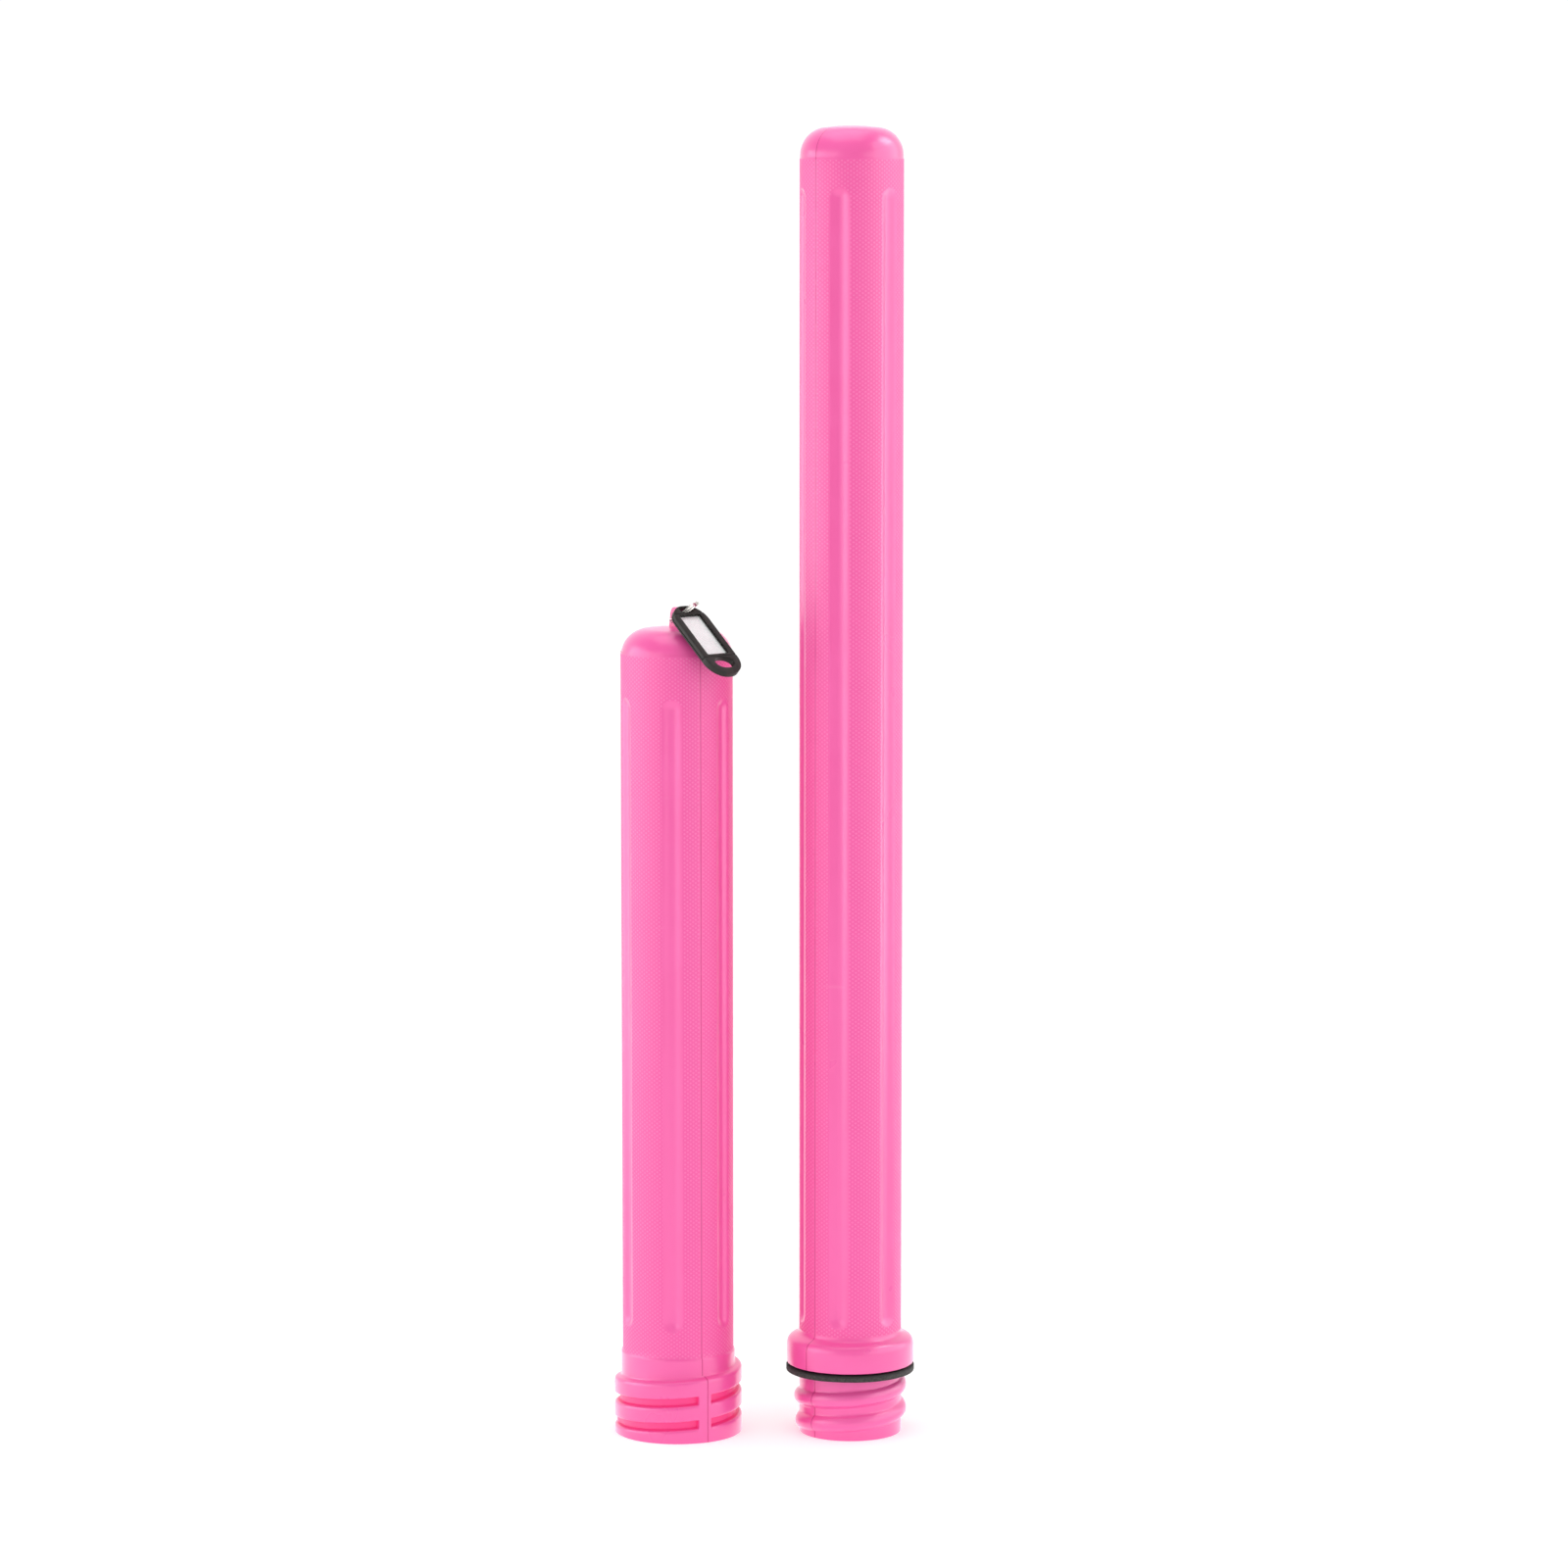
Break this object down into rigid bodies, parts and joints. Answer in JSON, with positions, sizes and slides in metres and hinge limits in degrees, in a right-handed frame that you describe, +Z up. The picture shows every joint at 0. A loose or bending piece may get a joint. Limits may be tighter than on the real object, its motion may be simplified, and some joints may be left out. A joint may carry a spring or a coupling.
{
  "type": "drawing tube",
  "caption": "Hot pink blow-moulded screw-together drawing tube, taken apart: long half with threaded neck and foam washer, short half with threaded mouth, split ring and address tag.",
  "frame": {"origin": "On the surface that the two halves stand on, under the middle of the object's footprint box.", "axes": "+Z up along both tubes. +X from the short half's axis to the long half's axis. -Y is the front, where the address tag hangs over the short half's shoulder."},
  "size_m": [0.1602, 0.0792, 0.694],
  "materials": {
    "pink_polyethylene": "satin blow-moulded polyethylene with a fine dot grain",
    "foam": "matt black closed-cell foam",
    "ring_steel": "nickel-plated steel wire",
    "charcoal_plastic": "satin moulded plastic",
    "clear_plastic": "clear glossy plastic sheet",
    "paper": "plain uncoated paper card"
  },
  "bodies": {
    "short_tube": {"short_half": "pink_polyethylene"},
    "washer": {"sealing_washer": "foam"},
    "long_tube": {"long_half": "pink_polyethylene"},
    "ring": {"split_ring": "ring_steel"},
    "tag": {"tag_tray": "charcoal_plastic", "tag_label": "paper"},
    "lid": {"tag_lid": "charcoal_plastic", "tag_window": "clear_plastic"}
  },
  "joints": [
    {"name": "tube_lift", "type": "slide", "parent": "short_tube", "child": "washer", "axis": [0, 0, 1], "range_m": [0, 0.0224]},
    {"name": "tube_turn", "type": "hinge", "parent": "washer", "child": "long_tube", "pos_m": [0.04588, 0.00543, 0.035], "axis": [0, 0, 1], "range_deg": [0, 630]},
    {"name": "ring_swing", "type": "hinge", "parent": "short_tube", "child": "ring", "pos_m": [-0.04612, 0.00543, 0.4372], "axis": [-0.8988, -0.4384, 0], "range_deg": [0, 130]},
    {"name": "tag_swing", "type": "hinge", "parent": "ring", "child": "tag", "pos_m": [-0.04152, -0.00987, 0.441], "axis": [-0.8184, -0.0686, -0.5705], "range_deg": [0, 75]},
    {"name": "lid_open", "type": "hinge", "parent": "tag", "child": "lid", "pos_m": [-0.02261, -0.02878, 0.41985], "axis": [0.7071, 0.7071, 0], "range_deg": [0, 150]}
  ],
  "couplings": [
    {"joint": "tube_lift", "follows": "tube_turn", "m_per_rad": 0.0020372}
  ]
}
